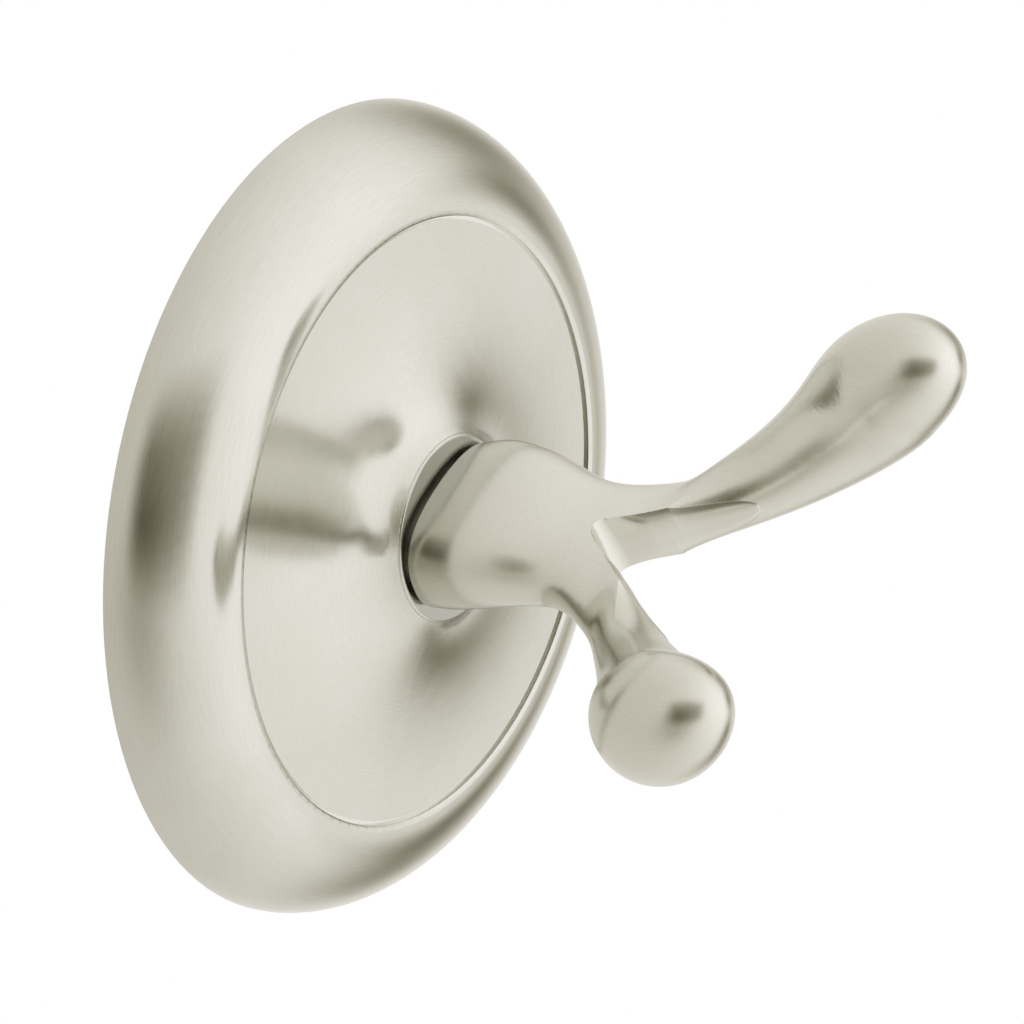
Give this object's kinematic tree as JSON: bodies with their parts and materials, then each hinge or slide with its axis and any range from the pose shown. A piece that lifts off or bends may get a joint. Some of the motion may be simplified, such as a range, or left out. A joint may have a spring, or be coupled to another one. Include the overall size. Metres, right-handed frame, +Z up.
{
  "type": "double robe hook",
  "caption": "Wall hook for robes: a round dished cover plate with a rolled rim, and a Y-shaped hook whose curved arms end in teardrop knobs.",
  "frame": {"origin": "middle of the wall bracket's back face, on the wall", "axes": "-Y out of the wall, +Z up, +X to the right seen from the front"},
  "size_m": [0.08, 0.0602, 0.08],
  "materials": {
    "satin_nickel": "satin nickel plate, very finely brushed",
    "plated_steel": "zinc plated",
    "dark_steel": "blackened"
  },
  "bodies": {
    "root": {"cover_plate": "satin_nickel", "double_hook": "satin_nickel", "hook_screw": "plated_steel", "lock_washer": "plated_steel", "wall_bracket": "plated_steel", "set_screw": "dark_steel"}
  },
  "joints": []
}
